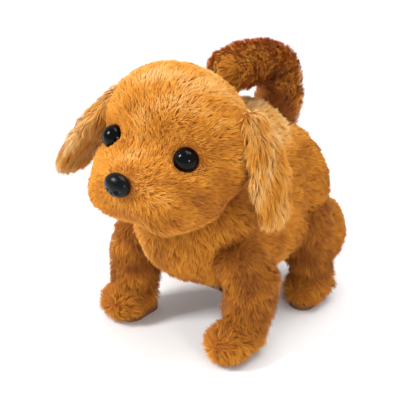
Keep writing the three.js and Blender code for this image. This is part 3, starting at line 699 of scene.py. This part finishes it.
# ---------------------------------------------------------------- eyes and nose
def dome(name, material, centre, radii, carve=lambda v: 1.0):
    """A smooth closed ball, drawn in or out along each direction by carve."""
    bm = bmesh.new()
    bmesh.ops.create_icosphere(bm, subdivisions=5, radius=1)
    for v in bm.verts:
        v.co = Vector(a * b for a, b in zip(v.co * carve(v.co), radii)) * MM + Vector(centre) * MM
    mesh = bpy.data.meshes.new(name)
    bm.to_mesh(mesh)
    bm.free()
    smooth(mesh)
    mesh.materials.append(material)
    return new_object(name, mesh)


def nose_relief(v):
    """Two nostrils and the groove between them, in the lower front of the nose."""
    if v.y > 0:
        return 1.0
    nostril = 0.0
    for side in (LEFT, RIGHT):
        nostril += math.exp(-(((v.x - side * 0.42) / 0.19) ** 2 + ((v.z + 0.28) / 0.16) ** 2))
    groove = math.exp(-((v.x / 0.07) ** 2)) * ramp(-v.z, 0.05, 0.4)
    return 1.0 - 0.3 * nostril - 0.12 * groove


def build_face():
    for side, word in WORD.items():
        eye = dome(f"Eye_{word}", EYE_GLOSS, EYE[side], (EYE_RADIUS,) * 3)
        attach(eye, "head")
        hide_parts(f"eye_{word}")
    nose = dome("Nose", NOSE_SATIN, NOSE, NOSE_SIZE, nose_relief)
    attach(nose, "head")
    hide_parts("nose")


# ---------------------------------------------------------------- covers
def place(obj, body, across_joint=None):
    """The piece rides on its body, or, when across_joint is given, keeps its place with its transform applied
    and rides on no body.
    """
    if across_joint is None:
        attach(obj, body)
    else:
        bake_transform(obj)


def cover(name, node, body, slot, lumps, held, coat, parts, across_joint=None, **form):
    """A stuffed skin in place of the CAD node, and its pile, in parts where one piece would be too big."""
    base = skin(f"{name}_skin", lumps, held, **form)
    base.data.materials.clear()
    base.data.materials.append(BACKING)
    for part, chosen in parts.items():
        grows = coat.grows
        piece = replace(coat, grows=lambda p, n, chosen=chosen: grows(p, n) & chosen(p))
        place(pile(f"{name}_pile{part}", base, piece, PILE), body, across_joint)
    place(base, body, across_joint)
    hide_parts(node)


WHOLE = {"": lambda p: np.ones(len(p), bool)}


def rounded_box(low, high, radius=4.0):
    """A box with its upright edges rounded, as a mesh."""
    bm = bmesh.new()
    bmesh.ops.create_cube(bm, size=1)
    low, high = Vector(low), Vector(high)
    for v in bm.verts:
        v.co = Vector((low[i] + (v.co[i] + 0.5) * (high[i] - low[i])) * MM for i in range(3))
    upright = [e for e in bm.edges if abs(e.verts[0].co.z - e.verts[1].co.z) > 1e-6]
    bmesh.ops.bevel(bm, geom=upright, offset=radius * MM, segments=5, profile=0.5, affect="EDGES")
    mesh = bpy.data.meshes.new("opening")
    bm.to_mesh(mesh)
    bm.free()
    return mesh


def build_body():
    """The body's cover, open under the belly for the battery door and the switch."""
    low, high = (*(DOOR_LOW[:2] - 1.2), 10), (*(DOOR_HIGH[:2] + 1.2), 40)
    slot_low, slot_high = (*(SWITCH_LOW[:2] - 0.6), 10), (SWITCH_HIGH[0] + 0.6, low[1] + 1, 40)
    openings = [rounded_box(low, high), rounded_box(slot_low, slot_high, 1.5)]

    def held(p):
        rim = (np.abs(p[:, 0]) < high[0] + 3) & (p[:, 2] < 44)
        rim &= (p[:, 1] > low[1] - 3) & (p[:, 1] < high[1] + 3)
        neck = (p[:, 1] < -8) & (p[:, 2] > 86)
        return rim | neck

    coat = Coat(body_comb, body_tint, grows=body_grows, seed=21)
    halves = {
        "_front": lambda p: p[:, 1] < 12,
        "_back_left": lambda p: (p[:, 1] >= 12) & (p[:, 0] >= 0),
        "_back_right": lambda p: (p[:, 1] >= 12) & (p[:, 0] < 0),
    }
    cover(
        "Body", "body_plush", "chassis", "plush", BODY, held, coat, halves, openings=openings
    )


def build_head():
    def held(p):
        socket = near_eye(p) < EYE_RADIUS + 1.5
        nose = np.linalg.norm(p - NOSE, axis=1) < 9
        seams = np.zeros(len(p), bool)
        for side in (LEFT, RIGHT):
            seams |= np.linalg.norm(p - np.array([side * 36, -24, 127]), axis=1) < 6
        return socket | nose | seams

    coat = Coat(
        head_comb, head_tint, grows=head_grows, trim=head_trim, length=4.2, width=0.32, density=4.4,
        lean=(56, 79), tuft=1.8, gather=0.2, stray=9, seed=41,
    )
    halves = {"_left": lambda p: p[:, 0] >= 0, "_right": lambda p: p[:, 0] < 0}
    cover("Head", "head_plush", "head", "plush", HEAD, held, coat, halves, voxel=2.6)


def build_legs():
    for i, (row, side) in enumerate((r, s) for r in ("front", "hind") for s in (LEFT, RIGHT)):
        word = f"{row}_{'left' if side == LEFT else 'right'}"
        x, y = side * 30, LEG_Y[row]
        bend = tuple((x * MM, y * MM, z * MM) for z in (HIP_Z, SLEEVE_Z))

        def held(p):
            return (p[:, 2] > 46) | (p[:, 2] < 4)

        cover(
            f"Leg_{word}", f"leg_plush_{word}", f"leg_{word}", "plush", leg_lumps(row, side), held,
            leg_coat(row, side, 60 + i), WHOLE, across_joint=bend, voxel=2.2, floor=1.8,
        )


def build_ears():
    for side, word in ((LEFT, "left"), (RIGHT, "right")):
        cover(
            f"Ear_{word}", f"ear_{word}", f"ear_{word}", "ear_plush", EARS[side], lambda p: p[:, 2] > 122,
            ear_coat(side, 81 + side), WHOLE, voxel=1.8,
        )


def build_tail():
    coat = Coat(tail_comb, tail_tint, length=5.2, lean=(38, 64), stray=18, seed=91)
    cover("Tail", "tail_plush", "tail", "tail_plush", TAIL, lambda p: p[:, 2] < 104, coat, WHOLE, voxel=2.2)


# ---------------------------------------------------------------- stage
def build_stage():
    """A white floor, three softboxes and a long lens, ahead of the puppy on its left."""
    scene = bpy.context.scene
    scene.view_settings.view_transform = "Standard"
    bm = bmesh.new()
    bmesh.ops.create_grid(bm, x_segments=1, y_segments=1, size=3)
    mesh = bpy.data.meshes.new("floor")
    bm.to_mesh(mesh)
    bm.free()
    paper, tree, bsdf = shader("floor_paper")
    place_on = add(tree, "ShaderNodeTexCoord").outputs["Object"]
    speckle = add(tree, "ShaderNodeTexNoise", {"Vector": place_on, "Scale": 60.0, "Detail": 4.0})
    shade = mixed(tree, speckle.outputs["Fac"], (0.9, 0.9, 0.9, 1), (0.93, 0.93, 0.93, 1))
    tree.links.new(shade, bsdf.inputs["Base Color"])
    bsdf.inputs["Roughness"].default_value = 0.9
    bsdf.inputs["Specular IOR Level"].default_value = 0.1
    mesh.materials.append(paper)
    new_object("Floor", mesh)

    world = bpy.data.worlds.new("studio")
    scene.world = world
    world.use_nodes = True
    back = world.node_tree.nodes["Background"]
    back.inputs["Color"].default_value = (1, 1, 1, 1)
    back.inputs["Strength"].default_value = 0.7

    softbox("Key", (-0.55, -0.7, 0.8), 0.32, 11.4)
    softbox("Top", (0.15, 0.25, 1.1), 0.7, 7.8)
    softbox("Fill", (0.95, -0.45, 0.35), 0.22, 3)

    azimuth, elevation, distance = math.radians(38), math.radians(24.4), 0.55
    middle_height = Vector((0, 0, 0.0792))
    aim = Vector((-0.0021, -0.0077, 0.0688))
    outward = Euler((-elevation, 0, azimuth)).to_matrix() @ Vector((0, -1, 0))
    camera = bpy.data.objects.new("Camera", bpy.data.cameras.new("Camera"))
    scene.collection.objects.link(camera)
    camera.data.lens, camera.data.sensor_width = 99, 36
    camera.data.clip_start = 0.02
    camera.location = middle_height + outward * distance
    camera.rotation_euler = (aim - camera.location).to_track_quat("-Z", "Y").to_euler()
    scene.camera = camera


def softbox(name, spot, size, watts):
    """A square area light that faces the puppy's middle."""
    light = bpy.data.lights.new(name, "AREA")
    light.shape, light.size, light.energy = "SQUARE", size, watts
    obj = bpy.data.objects.new(name, light)
    bpy.context.scene.collection.objects.link(obj)
    obj.location = spot
    aim = Vector((0, 0, 0.075)) - Vector(spot)
    obj.rotation_euler = aim.to_track_quat("-Z", "Y").to_euler()


finish_cad_nodes()
build_body()
build_head()
build_legs()
build_ears()
build_tail()
build_face()
build_stage()
